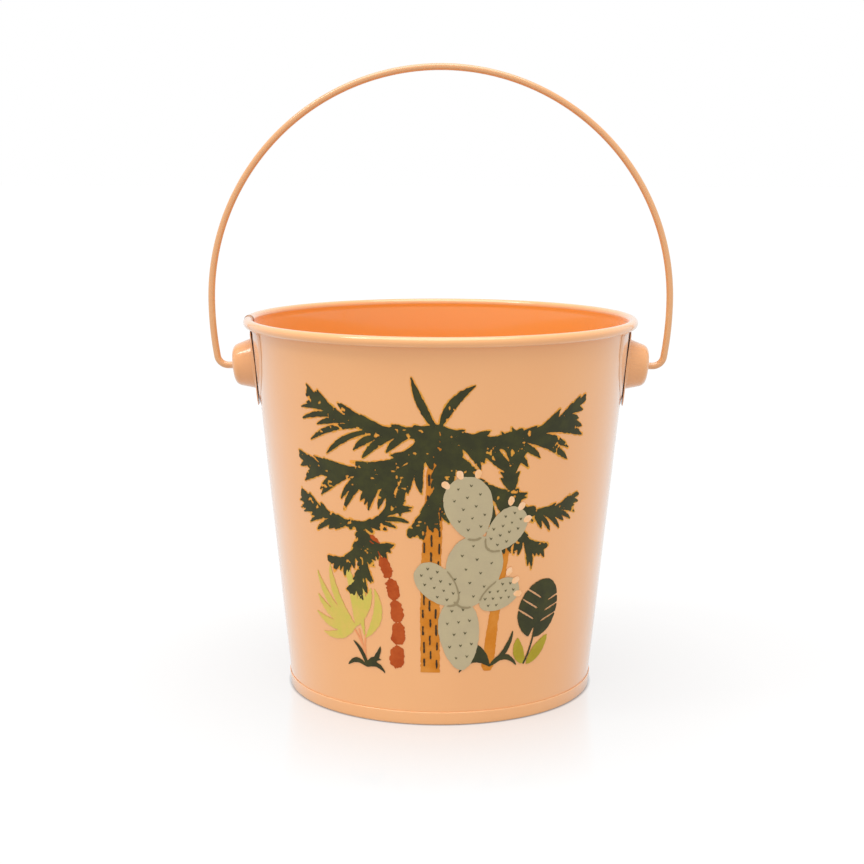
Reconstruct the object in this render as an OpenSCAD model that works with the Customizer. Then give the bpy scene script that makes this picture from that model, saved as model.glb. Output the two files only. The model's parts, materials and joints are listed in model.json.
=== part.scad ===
// Children's metal sand bucket: a tapered sheet body with a rolled rim, a
// folded-on bottom pan, two pressed ears and a swinging wire bail.
// Origin: centre of the base on the ground. +Z is up and the bail pivots along X.

/* [Body] */
// Height from the ground to the top of the rolled rim
bucket_h = 152.3; // [152:0.1:180]
// Outer diameter over the rolled rim
rim_d = 160; // [140:1:200]
// Outer diameter of the tapered wall where it would meet the ground
base_d = 123.74; // [100:1:140]
// Thickness of the sheet metal
sheet_t = 0.4; // [0.3:0.05:0.6]
// Diameter of the rolled rim bead
bead_d = 3.9; // [3.6:0.1:4.4]
// How far the bead's outer edge stands out from the wall's outer surface
bead_proud = 3.36; // [2.8:0.02:3.6]

/* [Side seam] */
// Width of the lap where the sheet's two ends are welded
seam_w = 5; // [3:0.5:10]

/* [Bottom pan] */
// Height of the folded band around the foot
hem_h = 5.2; // [4:0.1:10]
// Height of the bottom's upper face above the ground
floor_h = 5; // [3:0.1:9]
// Depth of the pressed step around the bottom's middle
panel_step = 0.8; // [0.4:0.1:1.5]
// Diameter of the pressed middle of the bottom
panel_d = 96; // [60:1:100]

/* [Ears] */
// Height of the bail's pivot above the ground
pivot_h = 131.9; // [128:0.1:134]
// Radius of the round ear plate
plate_r = 29; // [20:1:34]
// Height of the centre of the plate's round edge
plate_centre_h = 145.6; // [140:0.5:150]
// Height of the plate's straight upper edge
plate_top_h = 147.8; // [146:0.1:148]
// Width of the flange around the pressed cup
flange_w = 22; // [21.8:0.1:26]
// Height of the flange's upper edge
flange_top_h = 147; // [145:0.1:147.5]
// Height of the flange's lower edge
flange_bottom_h = 116.5; // [112:0.5:118]
// Radius of the flange's two lower corners
flange_corner_r = 3; // [1:0.5:8]
// Thickness of the cup's metal
cup_t = 0.5; // [0.4:0.05:0.7]
// Radius of the cup where it leaves the flange
cup_base_r = 10.8; // [10:0.1:10.9]
// Height of the cup above the plate
cup_h = 9.1; // [8:0.1:12]
// Draft of the cup's side, in degrees from its axis
cup_draft = 16.7; // [10:0.1:20]
// Radius of the round edge of the cup's face
cup_edge_r = 3.4; // [2:0.1:4]

/* [Bail] */
// Diameter of the bail's wire
wire_d = 2.8; // [2.4:0.1:4]
// Radial play of the wire in the cup's hole
pivot_play = 0.07; // [0.03:0.01:0.1]
// Radius of the bail's arch along the wire's centre
arch_r = 93.1; // [92:0.1:110]
// Radius of the curve along each leg
leg_r = 137; // [100:1:200]
// How far each leg leans inwards where it meets its bend, in degrees
leg_lean = 9.6; // [8:0.1:11]
// Radius of the bend at each end of the wire
bend_r = 4.5; // [3:0.1:5]
// Diameter of the flattened head inside each cup
head_d = 4.8; // [4:0.1:6]
// Thickness of the flattened head
head_t = 1; // [0.6:0.1:1.5]
// Space between the head and the cup's face
head_gap = 1.2; // [0.3:0.1:2]

/* [Hidden] */
$fn = 96;

enamel = "#E4A878";
lining = "#F8924C";
bare_steel = "#A8A8A8";

fit_gap = 0.02;               // between pieces that are pressed together
bead_r = bead_d / 2;
bead_z = bucket_h - bead_r;   // height of the bead's centre
bead_x = rim_d / 2 - bead_r;  // radius of the ring on which the bead's centre lies
taper = (rim_d / 2 - bead_proud - base_d / 2) / bead_z;
wall_angle = atan(taper);
curl_slit = 0.15;             // between the curl's end and the wall

hem_t = 0.5;                  // metal of the hem with its layer of paint
hem_gap = 0.05;

wire_r = wire_d / 2;
joint_swell = 0.02;
hole_r = wire_r + pivot_play;
hollow_inset = cup_t / cos(cup_draft) - cup_t * tan(cup_draft);  // at the hollow's own foot
cup_foot_z = pivot_h + cup_h * sin(wall_angle);
cup_foot_x = plate_out(cup_foot_z);
face_x = cup_foot_x + cup_h * cos(wall_angle);
arch_z = pivot_h + bend_r + (leg_r - bend_r) * sin(leg_lean);
bend_x = arch_r - leg_r + (leg_r - bend_r) * cos(leg_lean);
head_x = face_x - cup_t - head_gap - head_t;

// Radius of the wall's outer surface at height z
function wall_out(z) = base_d / 2 + taper * z;

// Radius of the ear plate's outer surface at height z
function plate_out(z) = wall_out(z) + fit_gap + sheet_t;

// Section of a sheet that follows the wall, from height z0 to z1 and from
// offset a to offset b outside the wall's outer surface
module wall_strip(z0, z1, a, b) {
    polygon([
        [wall_out(z0) + a, z0],
        [wall_out(z0) + b, z0],
        [wall_out(z1) + b, z1],
        [wall_out(z1) + a, z1]
    ]);
}

// Tapered wall with the curled bead around the rim wire, and the lap of its seam
module body_wall() {
    lap_angle = seam_w / base_d * 360 / PI;
    color(enamel) {
        rotate_extrude($fn = 180)
            difference() {
                union() {
                    wall_strip(sheet_t + hem_gap, bead_z, -sheet_t, 0);
                    translate([bead_x, bead_z]) circle(bead_r);
                }
                translate([bead_x, bead_z]) circle(bead_r - sheet_t);
                wall_strip(bead_z - bead_r, bead_z - bead_r / 2, 0, curl_slit);
            }
        rotate([0, 0, 180 - lap_angle / 2])
            rotate_extrude(angle = lap_angle)
                wall_strip(floor_h + 1, bead_z - bead_r, -2 * sheet_t, -sheet_t / 2);
    }
}

// Steel wire that the rim is curled around
module rim_wire() {
    color(bare_steel)
        rotate_extrude($fn = 180)
            translate([bead_x, bead_z]) circle(bead_r - sheet_t - hem_gap);
}

// Bottom disc with its edge folded down, round the wall's lower edge and up again
module bottom_pan() {
    inner = -sheet_t - hem_gap;
    panel_r = panel_d / 2;
    color(enamel)
        rotate_extrude($fn = 180) {
            polygon([
                [0, floor_h + panel_step - sheet_t],
                [panel_r, floor_h + panel_step - sheet_t],
                [panel_r + panel_step, floor_h - sheet_t],
                [wall_out(floor_h - sheet_t) + inner - sheet_t, floor_h - sheet_t],
                [wall_out(0) + inner - sheet_t, 0],
                [wall_out(0) + hem_gap + hem_t, 0],
                [wall_out(hem_h) + hem_gap + hem_t, hem_h],
                [wall_out(hem_h) + hem_gap, hem_h],
                [wall_out(sheet_t) + hem_gap, sheet_t],
                [wall_out(sheet_t) + inner, sheet_t],
                [wall_out(floor_h) + inner, floor_h],
                [panel_r + panel_step, floor_h],
                [panel_r, floor_h + panel_step],
                [0, floor_h + panel_step]
            ]);
        }
}

// Round plate with a straight upper edge that backs the right ear
module ear_plate_right() {
    color(enamel)
        intersection() {
            rotate_extrude($fn = 180)
                wall_strip(plate_centre_h - plate_r, plate_top_h, fit_gap, fit_gap + sheet_t);
            translate([0, 0, plate_centre_h])
                rotate([0, 90, 0])
                    cylinder(r = plate_r, h = rim_d);
        }
}

module ear_plate_left() {
    mirror([1, 0, 0]) ear_plate_right();
}

// Half section of a cup with a round-edged face: radius against height
module cup_section(foot_r, height, edge_r) {
    side_x = foot_r - height * tan(cup_draft);
    edge_x = side_x - edge_r * tan(45 - cup_draft / 2);
    difference() {
        polygon([[0, 0], [foot_r, 0], [side_x, height], [0, height]]);
        difference() {
            translate([edge_x, height - edge_r]) square(2 * edge_r);
            translate([edge_x, height - edge_r]) circle(edge_r);
            polygon([
                [0, 0],
                [foot_r, 0],
                [foot_r - (height - edge_r) * tan(cup_draft), height - edge_r],
                [edge_x, height - edge_r]
            ]);
        }
    }
}

// Outline of the cup's flat flange, in the plane of the flange, around the cup's axis
module flange_outline() {
    half = flange_w / 2;
    straight = half - flange_corner_r;
    top = (flange_top_h - cup_foot_z) / cos(wall_angle);
    low = (flange_bottom_h - cup_foot_z) / cos(wall_angle);
    for (side = [-1, 1])
        translate([side * straight, low + flange_corner_r]) circle(flange_corner_r);
    translate([-straight, low]) square([2 * straight, 2 * flange_corner_r]);
    translate([-half, low + flange_corner_r]) square([flange_w, top - low - flange_corner_r]);
}

// Pressed hollow cup on a flat flange, with the hole for the bail's end
module ear_cup_right() {
    color(enamel)
        difference() {
            translate([cup_foot_x + fit_gap, 0, cup_foot_z])
                rotate([90, 0, 90])
                    rotate([wall_angle, 0, 0]) {
                        difference() {
                            union() {
                                linear_extrude(cup_t) flange_outline();
                                rotate_extrude() cup_section(cup_base_r, cup_h, cup_edge_r);
                            }
                            translate([0, 0, -cup_t])
                                rotate_extrude()
                                    cup_section(cup_base_r - hollow_inset, cup_h, cup_edge_r - cup_t);
                        }
                    }
            translate([head_x, 0, pivot_h])
                rotate([0, 90, 0])
                    cylinder(r = hole_r, h = cup_h);
        }
}

module ear_cup_left() {
    mirror([1, 0, 0]) ear_cup_right();
}

// Arc of wire in the XZ plane around a centre, from one angle to another
module wire_arc(centre_x, centre_z, r, from, to) {
    translate([centre_x, 0, centre_z])
        rotate([90, 0, 0])
            rotate([0, 0, from])
                rotate_extrude(angle = to - from, $fn = 180)
                    translate([r, 0]) circle(wire_r, $fn = 32);
}

// Round swelling, too slight to see, that joins two arcs of wire into one solid
module wire_joint(x, z) {
    translate([x, 0, z]) sphere(wire_r + joint_swell, $fn = 32);
}

// Leg, bend, pivot and head at the bail's right end
module bail_end() {
    wire_joint(arch_r, arch_z);
    wire_arc(arch_r - leg_r, arch_z, leg_r, -leg_lean, 0);
    wire_joint(bend_x + bend_r * cos(leg_lean), pivot_h + bend_r - bend_r * sin(leg_lean));
    wire_arc(bend_x, pivot_h + bend_r, bend_r, -90, -leg_lean);
    wire_joint(bend_x, pivot_h);
    translate([head_x + head_t, 0, pivot_h])
        rotate([0, 90, 0])
            cylinder(r = wire_r, h = bend_x - head_x - head_t, $fn = 32);
    translate([head_x, 0, pivot_h])
        rotate([0, 90, 0])
            cylinder(d = head_d, h = head_t);
}

// One length of wire: the arch and both ends
module bail() {
    color(enamel) {
        wire_arc(0, arch_z, arch_r, 0, 180);
        bail_end();
        mirror([1, 0, 0]) bail_end();
    }
}

body_wall();
rim_wire();
bottom_pan();
ear_plate_left();
ear_plate_right();
ear_cup_left();
ear_cup_right();
bail();
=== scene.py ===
"""Looks of a children's metal sand bucket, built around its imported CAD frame.

Lengths are in metres. Only the print on the wall is drawn in millimetres, as (across, up): the
distance round the wall from its front line, and the height above the ground.
"""
import json
import math

import bmesh
import bpy
import numpy as np
from mathutils import Matrix, Vector, noise


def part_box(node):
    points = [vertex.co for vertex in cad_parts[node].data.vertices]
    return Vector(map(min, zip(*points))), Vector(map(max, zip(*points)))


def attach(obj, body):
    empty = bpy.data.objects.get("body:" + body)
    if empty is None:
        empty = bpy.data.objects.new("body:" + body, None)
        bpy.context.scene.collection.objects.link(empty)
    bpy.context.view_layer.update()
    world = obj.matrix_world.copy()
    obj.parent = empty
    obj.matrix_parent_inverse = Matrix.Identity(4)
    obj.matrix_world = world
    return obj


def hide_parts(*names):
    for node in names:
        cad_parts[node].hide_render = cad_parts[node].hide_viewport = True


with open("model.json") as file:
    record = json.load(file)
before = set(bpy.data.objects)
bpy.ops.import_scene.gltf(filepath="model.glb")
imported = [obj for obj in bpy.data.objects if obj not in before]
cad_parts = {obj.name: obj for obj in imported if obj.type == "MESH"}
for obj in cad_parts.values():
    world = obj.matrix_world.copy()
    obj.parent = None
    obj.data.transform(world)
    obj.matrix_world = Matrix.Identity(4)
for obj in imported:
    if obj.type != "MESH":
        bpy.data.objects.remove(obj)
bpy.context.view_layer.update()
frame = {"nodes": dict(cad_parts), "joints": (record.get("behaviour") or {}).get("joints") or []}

MM = 0.001
SAME_POINT = 0.05 * MM         # points closer than this are one point of a path

# Sheet metal
SHEET_T = 0.4 * MM
PRESS_GAP = 0.02 * MM          # between pieces that are pressed together
WALL_WAVE = 0.05 * MM          # unevenness of the rolled sheet
WAVE_LENGTH = 34 * MM
CALM_H = 10 * MM               # height below the rim in which the unevenness dies out
LOWER_EDGE_H = 0.7 * MM        # wall's lower edge, inside the bottom's fold
AROUND = 240                   # points round the wall and the bottom

# Rolled rim
CURL_START = 3.2 * MM          # below the bead's centre, where the sheet begins to curl
CURL_END = math.radians(-125)  # where the curl stops short of the wall

# Side seam, at -X
SEAM_W = 5 * MM
SEAM_AT = math.pi
LAP_OUTSIDE = 0.07 * MM        # how far the lap stands out on the wall's two faces
LAP_INSIDE = 0.3 * MM
LAP_EDGE = 0.5 * MM
RIM_STEP = 0.34 * MM           # where the bead's two ends meet
RIM_STEP_LOW = 0.6             # share of the step by which the lower end sinks
RIM_STEP_FADE = 9 * MM
RIM_GAP_W = 0.24 * MM          # width of the painted shade and dirt in the line between the two ends
FINE_HALF = 4 * MM             # the wall is finely divided this far on both sides of the seam
FINE_STEP = 0.16 * MM

# Bottom pan
HEM_H = 5.2 * MM
FLOOR_H = 5.0 * MM
PANEL_R = 47 * MM              # raised middle of the floor
PANEL_STEP = 0.8 * MM
PANEL_STEP_W = 2.8 * MM
FLOOR_CORNER_R = 1.0 * MM
HEM_PROUD = 0.55 * MM          # hem's outer face outside the wall's
PAN_GAP = 0.05 * MM            # between the wall and the bottom's upright part inside it

# Ears
PLATE_R = 29 * MM
PLATE_CENTRE_H = 145.6 * MM    # centre of its round outline
PLATE_MIDDLE_H = PLATE_CENTRE_H - 8 * MM  # middle that its mesh is drawn around
PLATE_EDGE = 0.04 * MM         # half the thickness to which its edge is pressed
PLATE_FEATHER = 2.4 * MM       # width over which it thins out
FLANGE_HALF = 11 * MM
FLANGE_TOP_H = 147 * MM
FLANGE_BOTTOM_H = 116.5 * MM
FLANGE_CORNER_R = 3 * MM
FLANGE_BOW = 0.64 * MM         # how far the flange's sides bow in towards the wall
FLANGE_EDGE_T = 0.22 * MM      # thickness to which its edge is pressed
CUP_T = 0.5 * MM
CUP_BASE_R = 10.6 * MM
CUP_H = 9.1 * MM
CUP_DRAFT = math.radians(16.7)
CUP_EDGE_R = 3.4 * MM
CUP_FOOT_ROUND = 0.35 * MM
FLANGE_PRESSED_W = 2 * MM      # width over which the flange thins out
HOLE_R = 1.52 * MM

# Bail
WIRE_R = 1.4 * MM
LEG_R = 137 * MM
LEG_LEAN = math.radians(9.6)
BEND_R = 4.5 * MM
HEAD_R = 2.4 * MM
HEAD_T = 1.0 * MM
HEAD_GAP = 1.2 * MM            # between the head and the inside of the cup's face

# Places worked out from the frame
wall_low, wall_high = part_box("body_wall")
wire_low, wire_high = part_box("rim_wire")
plate_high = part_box("ear_plate_right")[1]
bail_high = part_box("bail")[1]
PIVOT_H = frame["joints"][0]["pos_m"][2]

BEAD_Z = (wire_low.z + wire_high.z) / 2
BEAD_X = wire_high.x - (wire_high.z - wire_low.z) / 2
BEAD_R = wall_high.z - BEAD_Z
ARCH_R = bail_high.x - WIRE_R
ARCH_Z = bail_high.z - WIRE_R - ARCH_R


def outer_radius_near(node, height):
    """Outer radius of a CAD node's vertices close to a height."""
    vertices = frame["nodes"][node].data.vertices
    return max(math.hypot(v.co.x, v.co.y) for v in vertices if abs(v.co.z - height) < 0.1 * MM)


FOOT_R = outer_radius_near("body_wall", wall_low.z)
TAPER = (plate_high.x - PRESS_GAP - SHEET_T - FOOT_R) / (plate_high.z - wall_low.z)
WALL_ANGLE = math.atan(TAPER)


def wall_out(z):
    """Radius of the wall's outer surface at height z."""
    return FOOT_R + TAPER * (z - wall_low.z)


# ---------------------------------------------------------------- mesh helpers


def arc(centre, radius, start, end, steps):
    """Points along an arc in the plane of a section, angles in radians."""
    return [
        (centre[0] + radius * math.cos(start + (end - start) * i / steps),
         centre[1] + radius * math.sin(start + (end - start) * i / steps))
        for i in range(steps + 1)
    ]


def line(start, end, steps):
    """Evenly spaced points from start to end."""
    return [
        (start[0] + (end[0] - start[0]) * i / steps, start[1] + (end[1] - start[1]) * i / steps)
        for i in range(steps + 1)
    ]


def joined(*runs):
    """Runs of points as one path, without doubled points where they meet."""
    path = []
    for run in runs:
        for point in run:
            if not path or math.dist(point, path[-1]) > SAME_POINT:
                path.append(point)
    return path


def sheet_section(path, thickness, cap_steps=4):
    """Closed section of a sheet around its middle line, with round ends.

    Gives [(point, normal)] where the normal points out of the metal."""
    points = np.array(path)
    along = np.gradient(points, axis=0)
    along /= np.linalg.norm(along, axis=1)[:, None]
    normals = np.stack([-along[:, 1], along[:, 0]], axis=1)
    half = thickness / 2
    section = [(p + n * half, n) for p, n in zip(points, normals)]
    for i in range(1, cap_steps):
        turn = math.pi * i / cap_steps
        n = normals[-1] * math.cos(turn) + along[-1] * math.sin(turn)
        section.append((points[-1] + n * half, n))
    section += [(p - n * half, -n) for p, n in zip(points[::-1], normals[::-1])]
    for i in range(1, cap_steps):
        turn = math.pi * i / cap_steps
        n = -normals[0] * math.cos(turn) - along[0] * math.sin(turn)
        section.append((points[0] + n * half, n))
    return section


def tidy_normals(mesh):
    """Welds doubled points, drops flat slivers and points every face outwards."""
    bm = bmesh.new()
    bm.from_mesh(mesh)
    bmesh.ops.remove_doubles(bm, verts=bm.verts, dist=1e-7)
    bmesh.ops.dissolve_degenerate(bm, edges=bm.edges, dist=1e-8)
    bmesh.ops.recalc_face_normals(bm, faces=bm.faces)
    bm.to_mesh(mesh)
    bm.free()
    mesh.shade_smooth()


def new_object(name, vertices, faces, material):
    """A smooth mesh object from points and faces."""
    mesh = bpy.data.meshes.new(name)
    mesh.from_pydata([tuple(v) for v in vertices], [], faces)
    tidy_normals(mesh)
    mesh.materials.append(material)
    piece = bpy.data.objects.new(name, mesh)
    bpy.context.scene.collection.objects.link(piece)
    return piece


def ring_faces(rings, around, close_rings):
    """Quads between neighbouring rings of equally many points."""
    faces = []
    for j in range(rings if close_rings else rings - 1):
        k = (j + 1) % rings
        for i in range(around):
            n = (i + 1) % around
            faces.append((j * around + i, j * around + n, k * around + n, k * around + i))
    return faces


def add_mask(piece, name, amount):
    """Stores a value from 0 to 1 at each point for the paint to read."""
    layer = piece.data.attributes.new(name, "FLOAT", "POINT")
    layer.data.foreach_set("value", [float(amount(v.co)) for v in piece.data.vertices])


def fit_out(piece, body, slot, *nodes):
    """Hangs a piece on its body and hides the CAD nodes that it stands in for."""
    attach(piece, body)
    if nodes:
        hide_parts(*nodes)


def smoothstep(t):
    """0 to 1 with soft ends, as t goes from 0 to 1."""
    t = min(max(t, 0.0), 1.0)
    return t * t * (3 - 2 * t)


def bump(distance, width):
    """1 at no distance, about a third at the width, and soon 0 beyond it."""
    return math.exp(-((distance / width) ** 2))


# ---------------------------------------------------------------- materials


def linear(red, green, blue):
    """A colour picked in display values from 0 to 255, as the shader wants it."""
    def one(value):
        value /= 255
        return value / 12.92 if value <= 0.04045 else ((value + 0.055) / 1.055) ** 2.4
    return (one(red), one(green), one(blue), 1.0)


def shader_node(tree, kind, inputs=None, **settings):
    """A node with its settings, and its inputs set or linked by name."""
    node = tree.nodes.new(kind)
    for key, value in settings.items():
        setattr(node, key, value)
    for key, value in (inputs or {}).items():
        if isinstance(value, bpy.types.NodeSocket):
            tree.links.new(value, node.inputs[key])
        else:
            node.inputs[key].default_value = value
    return node


def mixed_colour(tree, amount, first, second):
    """Colour between two others."""
    mix = shader_node(tree, "ShaderNodeMix", data_type="RGBA")
    for socket, value in zip((mix.inputs[0], mix.inputs[6], mix.inputs[7]), (amount, first, second)):
        if isinstance(value, bpy.types.NodeSocket):
            tree.links.new(value, socket)
        else:
            socket.default_value = value
    return mix.outputs[2]


def noise_at(tree, place, scale, detail=2.0, rough=0.5, low=0.35, high=0.65):
    """Noise of a number of waves per metre, stretched to run from 0 to 1."""
    grain = shader_node(tree, "ShaderNodeTexNoise",
                        {"Vector": place, "Scale": scale, "Detail": detail, "Roughness": rough})
    spread = shader_node(tree, "ShaderNodeMapRange",
                         {"Value": grain.outputs["Fac"], "From Min": low, "From Max": high})
    return spread.outputs["Result"]


def scaled(tree, value, low, high):
    """A value from 0 to 1 moved to another range."""
    return shader_node(tree, "ShaderNodeMapRange",
                       {"Value": value, "To Min": low, "To Max": high}).outputs["Result"]


def product(tree, first, second):
    """Two values multiplied."""
    return shader_node(tree, "ShaderNodeMath", {0: first, 1: second}, operation="MULTIPLY").outputs[0]


def start_material(name):
    """An empty Principled material: the material, its tree, its shader and object coordinates."""
    material = bpy.data.materials.new(name)
    material.use_nodes = True
    tree = material.node_tree
    shader = tree.nodes["Principled BSDF"]
    place = shader_node(tree, "ShaderNodeTexCoord").outputs["Object"]
    return material, tree, shader, place


PEACH = linear(238, 173, 112)
PEACH_DEEP = linear(235, 167, 106)
# lighter peach for worn thin paint, and for the painted highlight along the hem's upper edge
PEACH_WORN_AND_LIT = linear(244, 192, 138)
# deeper orange painted on the inner faces as light bouncing round inside the bucket
BOUNCE_ORANGE = linear(243, 156, 67)
# dark brown for the painted shade and dirt in the rim's joint
SEAM_DIRT_AND_SHADE = linear(120, 78, 56)
EAR_PEACH = linear(233, 169, 110)
EAR_DEEP = linear(229, 161, 102)
TAN = linear(223, 165, 110)
TAN_DEEP = linear(219, 158, 103)
TAN_THIN = linear(234, 186, 138)
ORANGE_PEEL = 1.2e-6           # height of the fine unevenness of sprayed paint
SMOOTH_PEEL = 2e-7


def gloss(tree, shader, place, roughness, peel=ORANGE_PEEL, specular=0.2):
    """The gloss of baked enamel: slightly uneven, with a fine orange peel."""
    smudge = noise_at(tree, place, 40, detail=3, low=0.2, high=0.8)
    tree.links.new(scaled(tree, smudge, *roughness), shader.inputs["Roughness"])
    skin = noise_at(tree, place, 700, detail=1, low=0.0, high=1.0)
    relief = shader_node(tree, "ShaderNodeBump", {"Height": skin, "Strength": 1.0, "Distance": peel})
    tree.links.new(relief.outputs["Normal"], shader.inputs["Normal"])
    shader.inputs["Specular IOR Level"].default_value = specular


def enamel(name, colour, deep, thin, peel=ORANGE_PEEL):
    """Baked paint: cloudy depth, fine mottling, a deeper orange inside as painted bounce light, painted
    shade and dirt in the rim's joint, and worn edges with a painted highlight along the hem.
    """
    material, tree, shader, place = start_material(name)
    cloud = noise_at(tree, place, 22, detail=2, low=0.25, high=0.75)
    mottle = noise_at(tree, place, 1100, detail=2, low=0.25, high=0.75)
    base = mixed_colour(tree, cloud, colour, deep)
    speckled = mixed_colour(tree, product(tree, mottle, 0.3), base, deep)
    # painted bounce light: the inside is coloured a deeper orange
    lining = shader_node(tree, "ShaderNodeAttribute", attribute_name="lining").outputs["Fac"]
    speckled = mixed_colour(tree, lining, speckled, BOUNCE_ORANGE)
    # painted shade and dirt in the rim's joint
    dirt_and_gap_shade = shader_node(tree, "ShaderNodeAttribute", attribute_name="dirt_and_gap_shade").outputs["Fac"]
    speckled = mixed_colour(tree, dirt_and_gap_shade, speckled, SEAM_DIRT_AND_SHADE)
    wear_and_highlight = shader_node(tree, "ShaderNodeAttribute", attribute_name="wear_and_highlight").outputs["Fac"]
    # worn places, and the hem's painted highlight, get the lighter colour
    worn_and_lit = product(tree, wear_and_highlight, scaled(tree, noise_at(tree, place, 240, detail=4), 0.35, 1.0))
    tree.links.new(mixed_colour(tree, worn_and_lit, speckled, thin), shader.inputs["Base Color"])
    gloss(tree, shader, place, (0.2, 0.28), peel, specular=0.4)
    shader.inputs["Coat Weight"].default_value = 1.0
    shader.inputs["Coat Roughness"].default_value = 0.08
    shader.inputs["Sheen Weight"].default_value = 0.25
    shader.inputs["Sheen Roughness"].default_value = 0.4
    return material


def drawn_steel():
    """Bare drawn wire, finely scratched and with a dull film."""
    material, tree, shader, place = start_material("drawn_steel")
    film = noise_at(tree, place, 90, detail=4)
    tree.links.new(mixed_colour(tree, film, linear(168, 166, 160), linear(120, 112, 102)),
                   shader.inputs["Base Color"])
    scratch = noise_at(tree, place, 2400, detail=2)
    tree.links.new(scaled(tree, scratch, 0.3, 0.5), shader.inputs["Roughness"])
    shader.inputs["Metallic"].default_value = 1.0
    relief = shader_node(tree, "ShaderNodeBump", {"Height": scratch, "Strength": 0.6, "Distance": 4e-6})
    tree.links.new(relief.outputs["Normal"], shader.inputs["Normal"])
    return material


def ink(name, colour, second):
    """Printing ink: uneven like dry brushwork, and a little less glossy than the paint."""
    material, tree, shader, place = start_material(name)
    dry_brush = noise_at(tree, place, 160, detail=4, rough=0.65, low=0.4, high=0.68)
    tree.links.new(mixed_colour(tree, product(tree, dry_brush, 0.6), colour, second),
                   shader.inputs["Base Color"])
    gloss(tree, shader, place, (0.3, 0.42))
    return material


# ---------------------------------------------------------------- wall and rim


def wall_wave(angle, z):
    """How far the wall's surface stands off its true cone."""
    r = wall_out(z)
    place = Vector((r * math.cos(angle), r * math.sin(angle), z)) / WAVE_LENGTH
    return WALL_WAVE * noise.noise(place)


def wall_surface(angle, z, radius):
    """Radius at an angle and height with the wall's unevenness, which dies out under the rim."""
    calm = smoothstep((BEAD_Z - CURL_START - z) / CALM_H)
    return radius + wall_wave(angle, z) * calm


def wall_path():
    """Middle line of the wall's sheet, up the wall and round the bead."""
    top = BEAD_Z - CURL_START
    half = SHEET_T / 2
    mid_r = BEAD_R - half
    straight = line((wall_out(LOWER_EDGE_H) - half, LOWER_EDGE_H), (wall_out(top) - half, top), 36)
    lead_in = []
    for t in (i / 8 for i in range(1, 9)):
        z = top + CURL_START * t
        on_wall = wall_out(z) - half
        lead_in.append((on_wall + (BEAD_X - mid_r - on_wall) * smoothstep(t), z))
    curl = arc((BEAD_X, BEAD_Z), mid_r, math.pi, CURL_END, 40)
    return joined(straight, lead_in, curl)


def wall_azimuths():
    """Angles round the wall, closer together at the seam."""
    even = [2 * math.pi * i / AROUND for i in range(AROUND)]
    offsets = np.arange(-FINE_HALF, FINE_HALF + FINE_STEP / 2, FINE_STEP)
    near_seam = [SEAM_AT + s / wall_high.x for s in offsets]
    clear = [a for a in even if abs(a - SEAM_AT) > (FINE_HALF + 2 * FINE_STEP) / wall_high.x]
    return sorted(clear + near_seam)


def seam_relief(off_seam, faces_in, on_bead):
    """How far the surface stands out beside the seam: the lap, and the step in the bead."""
    if on_bead:
        step = -RIM_STEP * RIM_STEP_LOW if off_seam > 0 else RIM_STEP * (1 - RIM_STEP_LOW)
        return step * (1 - smoothstep(abs(off_seam) / RIM_STEP_FADE))
    lap = 1 - smoothstep((abs(off_seam) - SEAM_W / 2) / LAP_EDGE + 0.5)
    return (LAP_INSIDE if faces_in else LAP_OUTSIDE) * lap


def rim_gap(p):
    """Painted shade and dirt in the line where the bead's two ends meet."""
    on_seam = p.x < 0 and p.z > BEAD_Z - CURL_START
    return bump(p.y, RIM_GAP_W) if on_seam else 0.0


def wall_inside(p):
    """True on the wall's inner face, up to the middle of the bead."""
    return p.z < BEAD_Z and math.hypot(p.x, p.y) < wall_out(p.z) - SHEET_T / 2


def build_wall():
    """Tapered wall with its curled rim and side seam."""
    section = sheet_section(wall_path(), SHEET_T)
    angles = wall_azimuths()
    vertices = []
    for angle in angles:
        off_seam = (angle - SEAM_AT) * wall_high.x
        for point, normal in section:
            on_bead = point[1] > BEAD_Z - CURL_START
            out = seam_relief(off_seam, normal[0] < 0, on_bead)
            r = wall_surface(angle, point[1], point[0] + normal[0] * out)
            z = point[1] + normal[1] * out
            vertices.append((r * math.cos(angle), r * math.sin(angle), z))
    faces = ring_faces(len(angles), len(section), True)
    wall = new_object("bucket_wall", vertices, faces,
                      enamel("wall_paint", PEACH, PEACH_DEEP, PEACH_WORN_AND_LIT))
    add_mask(wall, "wear_and_highlight", lambda p: 0.2 * bump(p.z - wall_high.z, 0.9 * MM))
    # painted shade and dirt in the line where the rim's ends meet
    add_mask(wall, "dirt_and_gap_shade", rim_gap)
    # the wall's inner face gets the painted bounce light
    add_mask(wall, "lining", wall_inside)
    fit_out(wall, "bucket", "wall_enamel", "body_wall")


# ---------------------------------------------------------------- printed decoration

# The print is drawn on a grid of points, as (across, up) in millimetres. A field on the grid is
# above zero where there is ink, by the distance to the ink's edge.
WRAP_R = 70.0                  # radius that turns a distance across into an angle
GRID_STEP = 0.34
ACROSS = np.arange(-64, 64, GRID_STEP)
UP = np.arange(18, 142, GRID_STEP)
GRID_S, GRID_U = np.meshgrid(ACROSS, UP)
BARE = -1.5                    # a field's value far from its ink
TIP_HALF = 0.18                # half width of a leaf at its tips
FILM_T = 0.02 * MM
FILM_PITCH = 0.03 * MM         # from one layer of ink up to the next


def blank():
    """A field with no ink."""
    return np.full(GRID_S.shape, BARE)


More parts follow.
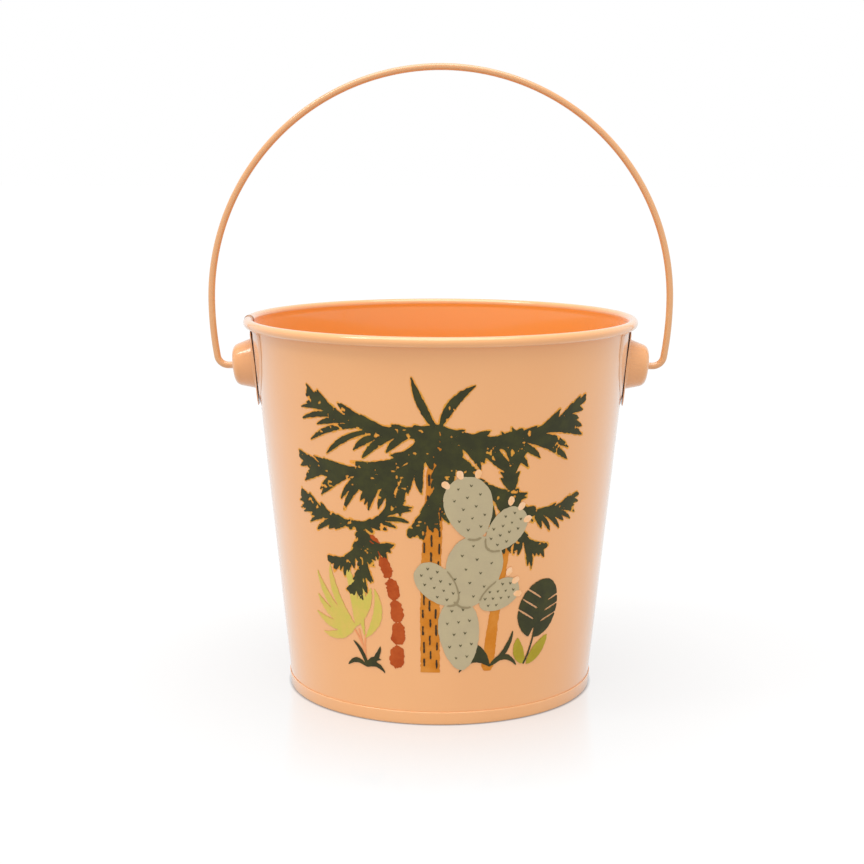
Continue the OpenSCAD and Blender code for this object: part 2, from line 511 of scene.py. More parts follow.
def grain(cell, seed):
    """Smooth random unevenness from -1 to 1, with lumps of about a cell's size."""
    rows, columns = int(np.ptp(UP) / cell) + 3, int(np.ptp(ACROSS) / cell) + 3
    lattice = np.random.default_rng(seed).uniform(-1, 1, (rows, columns))
    x, y = (GRID_S - ACROSS[0]) / cell, (GRID_U - UP[0]) / cell
    j, i = x.astype(int), y.astype(int)
    x, y = x - j, y - i
    x, y = x * x * (3 - 2 * x), y * y * (3 - 2 * y)
    low = lattice[i, j] * (1 - x) + lattice[i, j + 1] * x
    high = lattice[i + 1, j] * (1 - x) + lattice[i + 1, j + 1] * x
    return low * (1 - y) + high * y


def bow_line(start, end, bow, steps=8):
    """Points on a curve that bows off the straight line, to its left, by a share of its length."""
    (x0, y0), (x1, y1) = start, end
    points = []
    for i in range(steps + 1):
        t = i / steps
        off = 4 * bow * t * (1 - t)
        points.append((x0 + (x1 - x0) * t - (y1 - y0) * off, y0 + (y1 - y0) * t + (x1 - x0) * off))
    return points


def brush(field, points, widths):
    """Adds a stroke with a half width at each point."""
    for (ax, ay), (bx, by), wa, wb in zip(points, points[1:], widths, widths[1:]):
        reach = max(wa, wb) - BARE
        rows = slice(*np.searchsorted(UP, (min(ay, by) - reach, max(ay, by) + reach)))
        columns = slice(*np.searchsorted(ACROSS, (min(ax, bx) - reach, max(ax, bx) + reach)))
        x, y = GRID_S[rows, columns] - ax, GRID_U[rows, columns] - ay
        dx, dy = bx - ax, by - ay
        t = np.clip((x * dx + y * dy) / max(dx * dx + dy * dy, 1e-9), 0, 1)
        ink_depth = wa + (wb - wa) * t - np.hypot(x - dx * t, y - dy * t)
        field[rows, columns] = np.maximum(field[rows, columns], ink_depth)


def leaf_stroke(start, end, bow, half_width, fullest=0.45, steps=8):
    """A pointed leaf: the points of its middle line and the half widths along it."""
    points = bow_line(start, end, bow, steps)
    widths = []
    for i in range(steps + 1):
        t = i / steps
        swell = t / fullest if t < fullest else (1 - t) / (1 - fullest)
        widths.append(TIP_HALF + half_width * math.sin(math.pi / 2 * max(swell, 0)) ** 0.8)
    return points, widths


def frond(crown, tip, bow, leaf_length, stout, rng):
    """Strokes of a feathered palm leaf: its rib, and leaflets on both sides that point outwards."""
    rib = bow_line(crown, tip, bow, 24)
    strokes = [(rib, [stout * (1.5 - 1.2 * i / 24) for i in range(25)])]
    for i in range(1, 24, 2):
        t = i / 24
        (x, y), (ahead_x, ahead_y) = rib[i], rib[i + 1]
        along = math.atan2(ahead_y - y, ahead_x - x)
        longest = leaf_length * (0.25 + 0.75 * math.sin(math.pi * min(t * 1.08, 1)))
        for side in (-1, 1):
            reach = longest * rng.uniform(0.7, 1.15)
            turn = along + side * math.radians(30 - 18 * t + rng.uniform(-6, 6))
            end = (x + reach * math.cos(turn), y + reach * math.sin(turn) - 0.08 * reach)
            half_width = stout * rng.uniform(0.5, 0.9)
            strokes.append(leaf_stroke((x, y), end, -side * 0.1, half_width, 0.65))
    return strokes


def crown_of(crown, tips, leaf_length, stout, seed):
    """Strokes of all the fronds of a palm: each tip is (across, up, bow, share of leaf length)."""
    rng = np.random.default_rng(seed)
    strokes = []
    for across, up, bow, share in tips:
        strokes += frond(crown, (across, up), bow, leaf_length * share, stout, rng)
    return strokes


def drawn(strokes, grow, seed, rough=0.22, dry=0.0):
    """Field of strokes with ragged edges, and with dry gaps where the brush ran out."""
    field = blank()
    for points, widths in strokes:
        brush(field, points, [w + grow for w in widths])
    field = field + rough * grain(0.9, seed) + 0.5 * rough * grain(0.45, seed + 1)
    if dry:
        gaps = grain(2.2, seed + 2) + 0.7 * grain(0.8, seed + 3)
        field = np.minimum(field, (1 - dry - gaps) * 1.2)
    return field


def without(field, cover):
    """Ink left out where another layer covers it."""
    return np.minimum(field, -cover)


def on_wall(across, up, height):
    """Place of a point of the print, at a height off the wall."""
    angle = across / WRAP_R - math.pi / 2
    r = wall_surface(angle, up * MM, wall_out(up * MM)) + height
    return (r * math.cos(angle), r * math.sin(angle), up * MM)


def film_outline(field):
    """Splits the inked area into grid cells: flat points, cells and the edges of the ink."""
    inside = field > 0
    busy = inside[:-1, :-1] | inside[1:, :-1] | inside[:-1, 1:] | inside[1:, 1:]
    index, points, cells, borders = {}, [], [], []

    def point_at(a, b):
        """Number of a grid point, or of the place between two where the ink ends."""
        key = (min(a, b), max(a, b))
        if key not in index:
            t = field[a] / (field[a] - field[b]) if a != b else 0
            index[key] = len(points)
            points.append((ACROSS[a[1]] + (b[1] - a[1]) * GRID_STEP * t,
                           UP[a[0]] + (b[0] - a[0]) * GRID_STEP * t))
        return index[key]

    for i, j in np.argwhere(busy):
        corners = [(i, j), (i, j + 1), (i + 1, j + 1), (i + 1, j)]
        cell, crossings = [], []
        for a, b in zip(corners, corners[1:] + corners[:1]):
            if inside[a]:
                cell.append(point_at(a, a))
            if inside[a] != inside[b]:
                cell.append(point_at(a, b))
                crossings.append((cell[-1], inside[a]))
        cells.append(cell)
        for k, (start, leaving) in enumerate(crossings):
            if leaving:
                borders.append((start, crossings[(k + 1) % len(crossings)][0]))
    return points, cells, borders


def print_layer(name, field, layer, material):
    """One ink as a thin closed film on the wall."""
    flat, cells, borders = film_outline(field)
    foot = (layer + 1) * FILM_PITCH
    vertices = [on_wall(s, u, foot) for s, u in flat] + [on_wall(s, u, foot + FILM_T) for s, u in flat]
    count = len(flat)
    faces = [tuple(k + count for k in cell) for cell in cells]
    faces += [tuple(reversed(cell)) for cell in cells]
    faces += [(b, a, a + count, b + count) for a, b in borders]
    film = new_object(name, vertices, faces, material)
    film.data.set_sharp_from_angle(angle=math.radians(40))
    fit_out(film, "bucket", "wall_enamel")


# Trunks: points from the foot up, and the half width at each
TALL_TRUNK = [(-3.9, 22), (-4, 45), (-3.2, 70), (-1.8, 95), (-1, 114)]
TALL_TRUNK_HALF = [4, 3.9, 3.7, 3.4, 3]
SIDE_TRUNK = [(20.3, 24), (22, 42), (24.6, 60), (27.6, 84)]
SIDE_TRUNK_HALF = [2.6, 2.2, 1.8, 1.4]
RUST_TRUNK = bow_line((-18.4, 24), (-28.4, 77), -0.1, 24)
TRUNK_FOOT = 21.6              # height at which the ochre trunks are cut flat
FAN_HEART = (-36, 38)

# Blades of the fan palm: (direction in degrees, length)
FAN_BLADES = [(64, 18), (80, 22), (98, 27), (115, 26), (133, 27), (152, 22), (172, 21), (196, 18)]


def palm_fronds():
    """The three crowns: a tall palm in the middle and a small one on each side."""
    tall = [(-50, 128, 0.1, 1), (-56, 103, 0.17, 1.05), (56, 125, -0.14, 1), (19, 111, -0.1, 0.6),
            (27, 91, -0.12, 0.95), (-11, 78, 0.14, 0.6), (-30, 96, 0.16, 0.8)]
    spears = [leaf_stroke((-1, 117), (-10, 137), 0.05, 1.3), leaf_stroke((0, 118), (12, 134), 0.1, 1.6)]
    left = [(-59, 88, 0.08, 1), (-19, 91, -0.2, 1), (-46, 64, 0.25, 0.8), (-37, 53, 0.16, 0.9),
            (-21, 72, -0.2, 0.7)]
    right = [(29, 115, 0.06, 1), (58, 88, -0.16, 0.9), (43, 70, -0.2, 0.9), (19, 73, 0.2, 0.8)]
    return (crown_of((-1, 117), tall, 25, 1.7, 11) + crown_of((-31.5, 79), left, 13, 1.1, 12)
            + crown_of((28, 88), right, 14, 1.1, 13) + spears)


def tuft(root, tips):
    """Strokes of a tuft of grass: each tip is (across, up, bow, half width)."""
    return [leaf_stroke(root, (across, up), bow, width) for across, up, bow, width in tips]


def ground_leaves():
    """Strokes of the two tufts of grass at the palms' feet."""
    left = tuft((-31.5, 22), [(-37.5, 32, -0.1, 0.7), (-25, 31, -0.1, 0.9), (-25, 25.5, 0.2, 0.9),
                              (-41, 21.5, -0.25, 0.8), (-23.5, 20.5, 0.25, 0.8)])
    right = tuft((21, 23.5), [(9.5, 34.5, -0.12, 1.1), (10, 28, -0.2, 1), (8, 21.5, -0.3, 0.9),
                              (31, 37, -0.12, 0.9), (33.5, 22.5, 0.3, 1)])
    return left + right


def split_leaf():
    """One broad leaf with slits from its edge towards its rib, on a thin stem."""
    field = blank()
    brush(field, *leaf_stroke((41, 37), (47.5, 53.5), 0.06, 9.6, 0.4, 12))
    slits = blank()
    for share in (0.25, 0.45, 0.65):
        x, y = 40 + 8.5 * share, 34 + 20.5 * share
        brush(slits, *leaf_stroke((x - 1.6, y + 1.4), (x - 9, y + 6), 0, 0.2))
        brush(slits, *leaf_stroke((x + 2.2, y), (x + 10, y + 2.6), 0, 0.2))
    brush(slits, [(39.5, 33), (41.5, 38)], [1.1, 0.2])
    field = without(field, slits)
    brush(field, bow_line((37, 23), (41.5, 38), -0.06), [0.4] * 9)
    return field


def fan_plant():
    """Strokes of a low fan palm on the left, with its blades fanned out from one heart."""
    strokes = []
    for turn, reach in FAN_BLADES:
        a = math.radians(turn)
        tip = (FAN_HEART[0] + reach * math.cos(a), FAN_HEART[1] + reach * math.sin(a))
        strokes.append(leaf_stroke(FAN_HEART, tip, 0.12 if turn > 110 else -0.06, 1.6, 0.5))
    strokes.append(leaf_stroke((-31.5, 34), (-26.5, 54), -0.16, 1.8))
    strokes.append(leaf_stroke((-32, 35), (-32.5, 56), 0.04, 1.0))
    return strokes


def fan_stems():
    """Strokes of the fan palm's three thin stems."""
    return [(bow_line((-31.5, 23), end, bow), [0.35] * 9)
            for end, bow in (((-37, 37), -0.08), ((-34.5, 37), 0), ((-31.5, 35), 0.05))]


def rust_segments():
    """Strokes of the left palm's trunk: rough rounded blocks, smaller towards the top."""
    strokes = []
    for k in range(6):
        first, last = 4 * k, 4 * k + 3
        (x0, y0), (x1, y1) = RUST_TRUNK[first], RUST_TRUNK[last]
        half = 3.1 - 0.2 * k
        inset = half * 0.6 / math.dist((x0, y0), (x1, y1))
        a = (x0 + (x1 - x0) * inset, y0 + (y1 - y0) * inset)
        b = (x1 - (x1 - x0) * inset, y1 - (y1 - y0) * inset)
        strokes.append(([a, b], [half, half * 0.92]))
    return strokes


# Pads of the prickly pear: (across, up, half width, half height, lean in degrees)
PADS = [(8, 37, 8.2, 14.5, 6), (13, 62, 11, 14.5, -16), (-1, 57, 6.5, 10.5, 46), (11, 87, 9, 12.5, 14),
        (25.5, 78, 6.8, 10, -44), (24, 52, 5.6, 9, -62)]


def pad_depth(pad):
    """Field of one egg-shaped pad."""
    across, up, half_w, half_h, lean = pad
    turn = math.radians(lean)
    x, y = GRID_S - across, GRID_U - up
    along = x * -math.sin(turn) + y * math.cos(turn)
    aside = x * math.cos(turn) + y * math.sin(turn)
    egg = half_w * (1 + 0.18 * np.clip(along / half_h, -1, 1))
    return (1 - np.hypot(aside / egg, along / half_h)) * half_w


def pear_pads():
    """Field of all the pads together."""
    return np.maximum.reduce([pad_depth(pad) for pad in PADS]) + 0.12 * grain(1.4, 31)


def pad_seams():
    """Thin lines that part one pad from the pads behind it."""
    seams = blank()
    covered = blank()
    for pad in PADS:
        depth = pad_depth(pad)
        seams = np.maximum(seams, np.minimum(0.3 - np.abs(depth), covered - 0.5))
        covered = np.maximum(covered, depth)
    return seams + 0.08 * grain(0.8, 32)


def spine_marks():
    """Strokes of short spines in staggered rows on every pad."""
    strokes = []
    for across, up, half_w, half_h, lean in PADS:
        turn = math.radians(lean)
        for row in range(-2, 3):
            for column in (-1, 0, 1) if row % 2 else (-0.5, 0.5):
                aside, along = column * half_w * 0.55, row * half_h * 0.33
                x = across + aside * math.cos(turn) - along * math.sin(turn)
                y = up + aside * math.sin(turn) + along * math.cos(turn)
                strokes.append(([(x - 0.5, y + 0.9), (x, y), (x + 0.6, y + 0.8)], [0.12, 0.22, 0.12]))
    return strokes


def bark_marks():
    """Strokes of upright dashes in three staggered columns on the tall trunk."""
    rng = np.random.default_rng(41)
    strokes = []
    for row in range(13):
        for column in (-1, 0, 1):
            up = 25 + row * 6.6 + (3.3 if column == 0 else 0) + rng.uniform(-0.8, 0.8)
            middle = np.interp(up, [p[1] for p in TALL_TRUNK], [p[0] for p in TALL_TRUNK])
            x = middle + column * 2.6 + rng.uniform(-0.3, 0.3)
            half = rng.uniform(1.2, 2.1)
            strokes.append(([(x, up - half), (x, up + half)], [0.32, 0.36]))
    return strokes


def blossoms():
    """Strokes of small buds on the upper edges of the top pads."""
    strokes = []
    for across, up, half_w, half_h, lean in PADS[3:]:
        for spread in (-28, 4, 34):
            turn = math.radians(90 + lean + spread)
            x, y = across + math.cos(turn) * half_w * 1.15, up + math.sin(turn) * half_h * 0.98
            tip = (x + 3 * math.cos(turn), y + 3 * math.sin(turn))
            strokes.append(leaf_stroke((x, y), tip, 0, 1.1, 0.6))
    return strokes


def build_print():
    """All the inks, from the wall outwards: each is (name, field, colour, second colour).

    Each field is drawn with a seed of its own."""
    fronds = palm_fronds()
    pads = pear_pads()
    trunks = [(TALL_TRUNK, TALL_TRUNK_HALF), (SIDE_TRUNK, SIDE_TRUNK_HALF)]
    low_leaves = [leaf_stroke((37, 23), (33.5, 33.5), 0.1, 2.3),
                  leaf_stroke((38.5, 22.5), (48.5, 33), -0.02, 2.4)]
    green = np.maximum(drawn(fronds, 0, 21, rough=0.16, dry=0.1), drawn(ground_leaves(), 0, 22, rough=0.1))
    ochre = np.minimum(drawn(trunks, 0, 24), GRID_U - TRUNK_FOOT)
    bark = without(drawn(bark_marks(), 0, 33, rough=0.12), np.maximum(pads, green))
    layers = [
        ("print_gold", drawn(fronds, 0.45, 23, rough=0.3), (236, 158, 66), (206, 160, 52)),
        ("print_ochre", ochre, (204, 122, 26), (218, 144, 60)),
        ("print_rust", drawn(rust_segments(), 0, 25, rough=0.4, dry=-0.35), (170, 68, 14), (196, 92, 34)),
        ("print_stems", drawn(fan_stems(), 0, 26, rough=0.08), (232, 152, 100), (224, 142, 88)),
        ("print_lime", drawn(fan_plant(), 0, 27, rough=0.15), (204, 186, 84), (226, 180, 98)),
        ("print_olive", drawn(low_leaves, 0, 28, rough=0.12), (166, 146, 34), (180, 164, 52)),
        ("print_green", np.maximum(green, split_leaf() + 0.1 * grain(0.8, 29)), (54, 54, 30), (72, 72, 32)),
        ("print_sage", pads, (184, 168, 134), (192, 176, 138)),
        ("print_blush", drawn(blossoms(), 0, 30, rough=0.15), (244, 188, 134), (246, 222, 198)),
        ("print_marks", bark, (52, 40, 26), (70, 54, 30)),
        ("print_spines", drawn(spine_marks(), 0, 34, rough=0.03), (94, 88, 60), (110, 100, 66)),
        ("print_seams", pad_seams(), (150, 134, 100), (158, 142, 108)),
    ]
    for layer, (name, field, colour, second) in enumerate(layers):
        print_layer(name, field, layer, ink(name + "_ink", linear(*colour), linear(*second)))


# ---------------------------------------------------------------- bottom


def pan_path():
    """Middle line of the bottom's sheet, from its centre out and round the wall's lower edge."""
    half = SHEET_T / 2
    inner = SHEET_T + PAN_GAP + half
    outer = HEM_PROUD - half
    turn_r = (inner + outer) / 2
    turn_z = turn_r + half
    turn_x = wall_out(turn_z) - inner + turn_r
    corner = FLOOR_CORNER_R
    floor_mid = FLOOR_H - half
    corner_x = wall_out(floor_mid - corner) - inner
    panel = line((0, floor_mid + PANEL_STEP), (PANEL_R, floor_mid + PANEL_STEP), 16)
    step = [
        (PANEL_R + PANEL_STEP_W * t, floor_mid + PANEL_STEP * (1 - smoothstep(t)))
        for t in (i / 10 for i in range(1, 11))
    ]
    flat = line((PANEL_R + PANEL_STEP_W + 0.2 * MM, floor_mid), (corner_x - corner, floor_mid), 8)
    down = arc((corner_x - corner, floor_mid - corner), corner, math.pi / 2, 0, 6)
    inside = line((corner_x, floor_mid - corner), (turn_x - turn_r, turn_z), 4)
    turn = arc((turn_x, turn_z), turn_r, math.pi, 2 * math.pi, 12)
    outside = line((turn_x + turn_r, turn_z), (wall_out(HEM_H) + PRESS_GAP + half, HEM_H - half), 8)
    return joined(panel, step, flat, down, inside, turn, outside)


def build_pan():
    """Pressed bottom with its edge folded up outside the wall as a hem."""
    section = sheet_section(pan_path(), SHEET_T, cap_steps=8)
    vertices = []
    for i in range(AROUND):
        angle = 2 * math.pi * i / AROUND
        for (r, z), _ in section:
            on_hem = r > wall_out(z)
            wave = wall_wave(angle, z) if on_hem else 0
            r = max(r, 0) + wave
            vertices.append((r * math.cos(angle), r * math.sin(angle), z))
    faces = ring_faces(AROUND, len(section), True)
    pan = new_object("bottom_pan_sheet", vertices, faces,
                     enamel("pan_paint", PEACH, PEACH_DEEP, PEACH_WORN_AND_LIT))
    # worn bottom edge, and a painted highlight along the hem's upper edge
    add_mask(pan, "wear_and_highlight", lambda p: 0.2 * bump(p.z, 0.5 * MM) + 0.6 * bump(p.z - HEM_H, 0.4 * MM))
    # the inside of the bottom gets the painted bounce light
    above_floor = FLOOR_H - SHEET_T / 2
    add_mask(pan, "lining", lambda p: p.z > above_floor and math.hypot(p.x, p.y) < wall_out(p.z))
    fit_out(pan, "bucket", "pan_enamel", "bottom_pan")


# ---------------------------------------------------------------- ears


def plate_outline(theta):
    """Distance from the plate's middle to its edge, in the direction theta."""
    c, s = math.cos(theta), math.sin(theta)
    up = PLATE_CENTRE_H - PLATE_MIDDLE_H
    to_round = up * s + math.sqrt(PLATE_R ** 2 - (up * c) ** 2)
    to_top = (plate_high.z - PLATE_MIDDLE_H) / s if s > 1e-6 else math.inf
    return min(to_round, to_top)


def build_plate(side, name, node):
    """Thin plate that follows the wall under one ear, with its edge pressed down to the wall."""
    around, edge = 144, PLATE_EDGE
    top = PRESS_GAP + SHEET_T
    rings = [(share, 0.0, top) for share in (0.0, 0.15, 0.3, 0.45, 0.6, 0.75)]
    rings += [
        (1.0, PLATE_FEATHER * (1 - t), top - (SHEET_T - 2 * edge) * smoothstep(t))
        for t in (i / 8 for i in range(8))
    ]
    rings += [(1.0, 0.0, PRESS_GAP + edge), (1.0, edge, PRESS_GAP), (0.6, 0.0, PRESS_GAP),
              (0.3, 0.0, PRESS_GAP), (0.0, 0.0, PRESS_GAP)]
    vertices = []
    for share, inset, height in rings:
        for i in range(around):
            theta = 2 * math.pi * i / around
            reach = plate_outline(theta) * share - inset
            z = PLATE_MIDDLE_H + reach * math.sin(theta)
            swing = reach * math.cos(theta) / wall_out(z)
            angle = swing if side > 0 else math.pi - swing
            r = wall_surface(angle, z, wall_out(z)) + height
            vertices.append((r * math.cos(angle), r * math.sin(angle), z))
    plate = new_object(name, vertices, ring_faces(len(rings), around, False),
                       enamel(name + "_paint", EAR_PEACH, EAR_DEEP, PEACH_WORN_AND_LIT))
    fit_out(plate, "bucket", "ear_enamel", node)


def flange_outline(theta, foot_z):
    """Distance from the cup's axis to the flange's edge, in the direction theta."""
    top = (FLANGE_TOP_H - foot_z) / math.cos(WALL_ANGLE)
    low = (foot_z - FLANGE_BOTTOM_H) / math.cos(WALL_ANGLE)
    c, s = abs(math.cos(theta)), math.sin(theta)
    to_side = FLANGE_HALF / c if c > 1e-6 else math.inf
    to_end = (top if s > 0 else low) / abs(s) if abs(s) > 1e-6 else math.inf
    reach = min(to_side, to_end)
    corner = Vector((FLANGE_HALF - FLANGE_CORNER_R, -(low - FLANGE_CORNER_R)))
    if s < 0 and reach * c > corner.x and reach * s < corner.y:
        along = corner.x * c + corner.y * s
        reach = along + math.sqrt(along ** 2 - corner.length_squared + FLANGE_CORNER_R ** 2)
    return reach


def cup_profile():
    """Outside of the cup from its hole down to its foot: (radius, height) points."""
    side_x = CUP_BASE_R - CUP_H * math.tan(CUP_DRAFT)
    centre_x = side_x - CUP_EDGE_R * math.tan(math.pi / 4 - CUP_DRAFT / 2)
    face = line((HOLE_R, CUP_H), (centre_x, CUP_H), 4)
    edge = arc((centre_x, CUP_H - CUP_EDGE_R), CUP_EDGE_R, math.pi / 2, CUP_DRAFT, 12)
    foot_h = CUP_T + CUP_FOOT_ROUND
    foot = (CUP_BASE_R - foot_h * math.tan(CUP_DRAFT), foot_h)
    return joined(face, edge, line(edge[-1], foot, 6))


def inner_profile():
    """Inside of the cup from its foot up to its hole, one thickness inside the outside."""
    outside = np.array(cup_profile())
    along = np.gradient(outside, axis=0)
    along /= np.linalg.norm(along, axis=1)[:, None]
    inside = outside + np.stack([along[:, 1], -along[:, 0]], axis=1) * CUP_T
    inside[:, 0] = np.maximum(inside[:, 0], HOLE_R)
    return [tuple(p) for p in inside[::-1]]


def build_cup(side, name, node):
    """Pressed cup on its flange, with the hole for the bail. Gives how far out its face is.

    A ring is (on_outline, size, height): at that radius, or that far inside the flange's edge."""
    foot_z = PIVOT_H + CUP_H * math.sin(WALL_ANGLE)
    foot = Vector((wall_out(foot_z) + SHEET_T + 2 * PRESS_GAP, 0, foot_z))
    out = Vector((math.cos(WALL_ANGLE), 0, -math.sin(WALL_ANGLE)))
    up = Vector((math.sin(WALL_ANGLE), 0, math.cos(WALL_ANGLE)))
    around, edge = 128, FLANGE_EDGE_T / 2
    round_foot = arc((cup_profile()[-1][0] + CUP_FOOT_ROUND, CUP_T + CUP_FOOT_ROUND), CUP_FOOT_ROUND,
                     math.pi, 1.5 * math.pi, 4)
    rings = [(0, r, h) for r, h in joined(cup_profile(), round_foot)]
    foot_r = rings[-1][1] + 0.02 * MM  # the flange's rings stay outside this
    rings += [(1, FLANGE_PRESSED_W, CUP_T), (1, edge, FLANGE_EDGE_T), (1, 0.0, edge), (1, edge, 0.0)]
    hollow = inner_profile()
    rings += [(0, hollow[0][0] + CUP_FOOT_ROUND, 0.0)]
    rings += [(0, r, h) for r, h in hollow]
    vertices = []
    for on_outline, size, height in rings:
        for i in range(around):
            theta = 2 * math.pi * i / around
            reach = max(flange_outline(theta, foot_z) - size, foot_r) if on_outline else size
            off_middle = reach * math.cos(theta) / FLANGE_HALF
            bow = FLANGE_BOW * off_middle ** 4 * (1 - 0.5 * abs(math.sin(theta))) if on_outline else 0
            p = foot + out * (height - bow) + up * (reach * math.sin(theta))
            vertices.append((p.x * side, reach * math.cos(theta), p.z))
    cup = new_object(name, vertices, ring_faces(len(rings), around, True),
                     enamel(name + "_paint", EAR_PEACH, EAR_DEEP, PEACH_WORN_AND_LIT))
    hole = Vector((side * (foot + out * CUP_H).x, 0, PIVOT_H))
    add_mask(cup, "wear_and_highlight", lambda p: 0.9 * bump((p - hole).length, 2.2 * MM))
    fit_out(cup, "bucket", "ear_enamel", node)
    return abs(hole.x)


# ---------------------------------------------------------------- bail


def bail_path(face_x):
    """Middle line of the right half of the bail, from its head up to the top of the arch."""
    bend_x = ARCH_R - LEG_R + (LEG_R - BEND_R) * math.cos(LEG_LEAN)
    shaft = line((face_x - CUP_T - HEAD_GAP, PIVOT_H), (bend_x, PIVOT_H), 8)
    bend = arc((bend_x, PIVOT_H + BEND_R), BEND_R, -math.pi / 2, -LEG_LEAN, 20)
    leg = arc((ARCH_R - LEG_R, ARCH_Z), LEG_R, -LEG_LEAN, 0, 14)
    arch = arc((0, ARCH_Z), ARCH_R, 0, math.pi / 2, 90)
    return joined(shaft, bend, leg, arch)


def build_bail(face_x):
    """One length of painted wire, with its flattened heads."""
    half = bail_path(face_x)
    path = half + [(-x, z) for x, z in half[-2::-1]]
    points = [Vector((x, 0, z)) for x, z in path]
    around = 28
    rings = []
    side = Vector((0, 1, 0))
    for i, point in enumerate(points):
        along = (points[min(i + 1, len(points) - 1)] - points[max(i - 1, 0)]).normalized()
        rings.append((point, along, WIRE_R))
    head_rings = [(0.0, WIRE_R), (0.05 * MM, HEAD_R - 0.2 * MM), (0.2 * MM, HEAD_R),
                  (HEAD_T - 0.25 * MM, HEAD_R), (HEAD_T - 0.05 * MM, HEAD_R - 0.25 * MM),
                  (HEAD_T, HEAD_R * 0.5), (HEAD_T, 0.0)]
    out = Vector((1, 0, 0))
    start = [(points[0] - out * d, out, r) for d, r in reversed(head_rings)]
    end = [(points[-1] + out * d, -out, r) for d, r in head_rings]
    vertices = []
    for centre, along, radius in start[:-1] + rings + end[1:]:
        across = side.cross(along).normalized()
        for k in range(around):
            turn = 2 * math.pi * k / around
            vertices.append(centre + (across * math.cos(turn) + side * math.sin(turn)) * radius)
    faces = ring_faces(len(start) + len(rings) + len(end) - 2, around, False)
    bail = new_object("bail_wire", vertices, faces,
                      enamel("bail_paint", TAN, TAN_DEEP, TAN_THIN, SMOOTH_PEEL))
    pivot_top = PIVOT_H + 2 * MM
    add_mask(bail, "wear_and_highlight", lambda p: bump(abs(p.x) - face_x, 1.2 * MM) if p.z < pivot_top else 0.0)
    fit_out(bail, "bail", "bail_enamel", "bail")


# ---------------------------------------------------------------- stage, light and camera


def near_foot(tree, away, reach, low, high):
    """A value that rises or falls outwards from the edge of the bucket's foot."""
    return shader_node(tree, "ShaderNodeMapRange",
                       {"Value": away, "From Min": FOOT_R, "From Max": FOOT_R + reach,
                        "To Min": low, "To Max": high}).outputs["Result"]


def floor_white():
    """White that is darker against the foot as a painted shadow, mirrors the foot faintly, and is clear
    from below.
    """
    material, tree, shader, place = start_material("floor_white")
    shader.inputs["Base Color"].default_value = (0.2, 0.2, 0.2, 1)
    shader.inputs["Emission Color"].default_value = (1, 1, 1, 1)
    shader.inputs["Roughness"].default_value = 1.0
    shader.inputs["Specular IOR Level"].default_value = 0.0
    away = shader_node(tree, "ShaderNodeVectorMath", {0: place}, operation="LENGTH").outputs["Value"]
    seen = shader_node(tree, "ShaderNodeLightPath").outputs["Is Camera Ray"]
    # painted shade: the glow dims towards the foot, over 5 mm for the light thrown on the bucket and over
    # 1.6 mm as a painted contact shadow seen by the camera
    lit_with_painted_shade = near_foot(tree, away, 5 * MM, 0.2, 0.52)
    shown_with_painted_shadow = near_foot(tree, away, 1.6 * MM, 0.12, 0.7)
    glow = shader_node(tree, "ShaderNodeMix", {0: seen, 2: lit_with_painted_shade, 3: shown_with_painted_shadow})
    tree.links.new(glow.outputs[0], shader.inputs["Emission Strength"])
    mirror = shader_node(tree, "ShaderNodeBsdfGlossy", {"Color": (1, 1, 1, 1), "Roughness": 0.12})
    mix = shader_node(tree, "ShaderNodeMixShader", {0: near_foot(tree, away, 75 * MM, 0.26, 0.0)})
    tree.links.new(shader.outputs[0], mix.inputs[1])
    tree.links.new(mirror.outputs[0], mix.inputs[2])
    below = shader_node(tree, "ShaderNodeNewGeometry").outputs["Backfacing"]
    clear = shader_node(tree, "ShaderNodeMixShader", {0: below})
    tree.links.new(mix.outputs[0], clear.inputs[1])
    tree.links.new(shader_node(tree, "ShaderNodeBsdfTransparent").outputs[0], clear.inputs[2])
    tree.links.new(clear.outputs[0], tree.nodes["Material Output"].inputs["Surface"])
    return material


def stage_floor():
    """A plain pale floor, far wider than the view."""
    size = 8.0
    mesh = bpy.data.meshes.new("floor")
    mesh.from_pydata([(-size, -size, 0), (size, -size, 0), (size, size, 0), (-size, size, 0)], [],
                     [(0, 1, 2, 3)])
    mesh.materials.append(floor_white())
    floor = bpy.data.objects.new("floor", mesh)
    bpy.context.scene.collection.objects.link(floor)


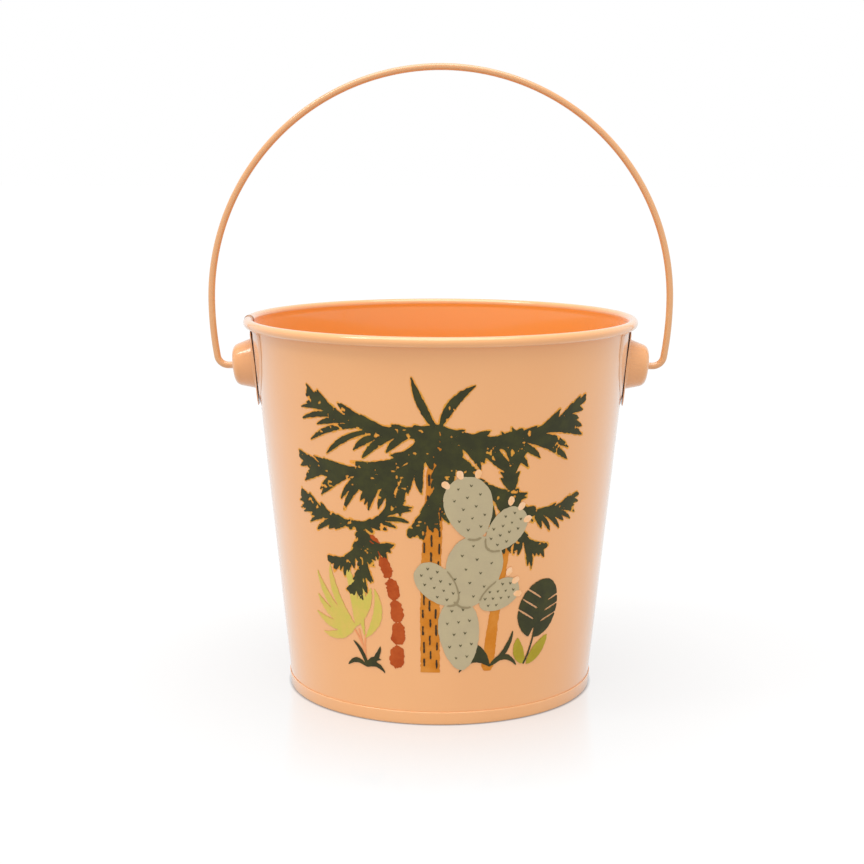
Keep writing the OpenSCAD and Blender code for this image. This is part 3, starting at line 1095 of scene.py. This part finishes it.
def broad_light(name, towards, power, spread):
    """An even light from far away, as wide in the sky as its spread in degrees."""
    data = bpy.data.lights.new(name, "SUN")
    data.energy = power
    data.angle = math.radians(spread)
    light = bpy.data.objects.new(name, data)
    light.rotation_euler = Vector(towards).to_track_quat("-Z", "Y").to_euler()
    bpy.context.scene.collection.objects.link(light)


def light_up():
    """Soft white studio light: an even surround, a broad light above and a weak lamp on the left."""
    world = bpy.data.worlds.new("studio")
    world.use_nodes = True
    tree = world.node_tree
    background = tree.nodes["Background"]
    camera = shader_node(tree, "ShaderNodeLightPath").outputs["Is Camera Ray"]
    tree.links.new(scaled(tree, camera, 0.87, 1.0), background.inputs["Strength"])
    background.inputs["Color"].default_value = (1, 1, 1, 1)
    bpy.context.scene.world = world
    broad_light("top_softbox", (0.05, 0.2, -1), 2.2, 60)
    broad_light("left_lamp", (0.57, 0.22, -0.78), 0.4, 14)


def place_camera():
    """Camera a little above the rim, in front of the bucket and tilted down at it."""
    distance, height = 0.693, 0.2217
    tilt, turn, roll = math.radians(9.62), 0.0049, 0.0019
    data = bpy.data.cameras.new("camera")
    data.sensor_width = 36
    data.lens = 71.09
    data.clip_start = 0.01
    camera = bpy.data.objects.new("camera", data)
    camera.matrix_world = (
        Matrix.Translation((0, -distance, height))
        @ Matrix.Rotation(turn, 4, "Z")
        @ Matrix.Rotation(math.pi / 2 - tilt, 4, "X")
        @ Matrix.Rotation(roll, 4, "Z")
    )
    bpy.context.scene.collection.objects.link(camera)
    bpy.context.scene.camera = camera
    bpy.context.scene.view_settings.view_transform = "Standard"


build_wall()
build_print()
build_pan()
build_plate(1, "ear_plate_right_sheet", "ear_plate_right")
build_plate(-1, "ear_plate_left_sheet", "ear_plate_left")
face_x = build_cup(1, "ear_cup_right_pressing", "ear_cup_right")
build_cup(-1, "ear_cup_left_pressing", "ear_cup_left")
build_bail(face_x)
frame["nodes"]["rim_wire"].data.materials.clear()
frame["nodes"]["rim_wire"].data.materials.append(drawn_steel())

stage_floor()
light_up()
place_camera()
